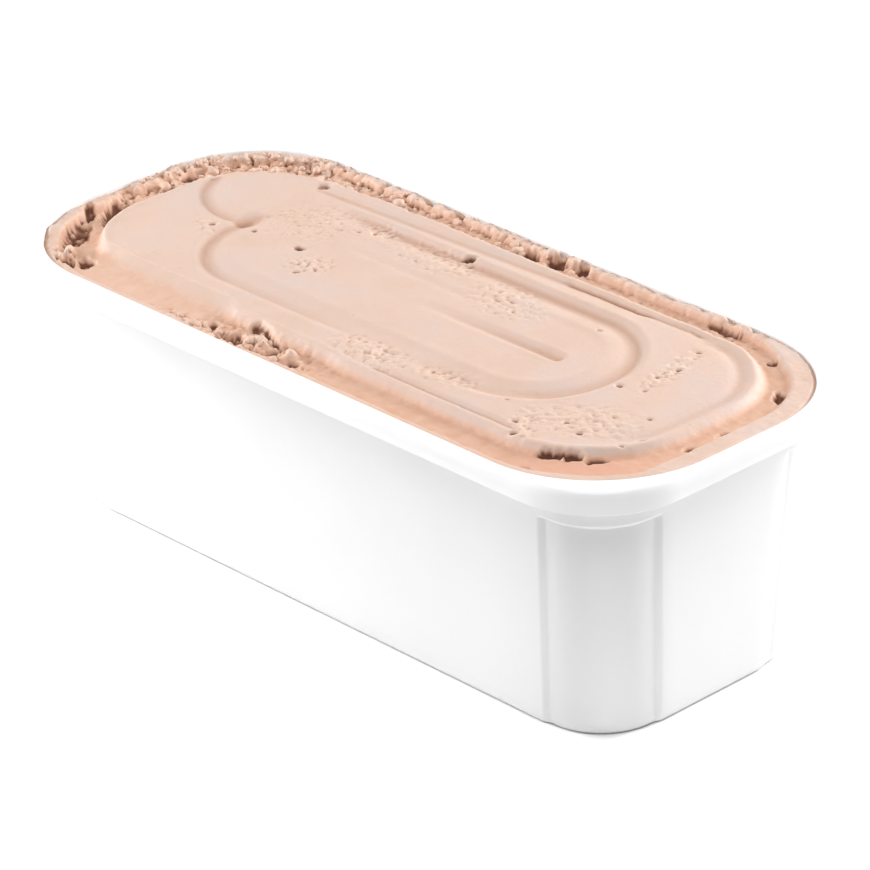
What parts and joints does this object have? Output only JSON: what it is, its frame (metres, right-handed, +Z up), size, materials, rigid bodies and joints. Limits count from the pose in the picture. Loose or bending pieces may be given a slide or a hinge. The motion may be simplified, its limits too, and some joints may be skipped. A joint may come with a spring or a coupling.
{
  "type": "ice cream tub",
  "caption": "Long open plastic catering tub filled to the rim with light chocolate ice cream, its top pressed with a racetrack pattern by the lid.",
  "frame": {"origin": "middle of the underside of the base", "axes": "+X along the tub's length, +Y across it towards the back, +Z up"},
  "size_m": [0.36, 0.16, 0.115],
  "materials": {
    "tub": "satin white moulded polypropylene",
    "ice_cream": "matt, soft and slightly pitted"
  },
  "bodies": {
    "root": {"tub": "tub", "ice_cream": "ice_cream"}
  },
  "joints": []
}
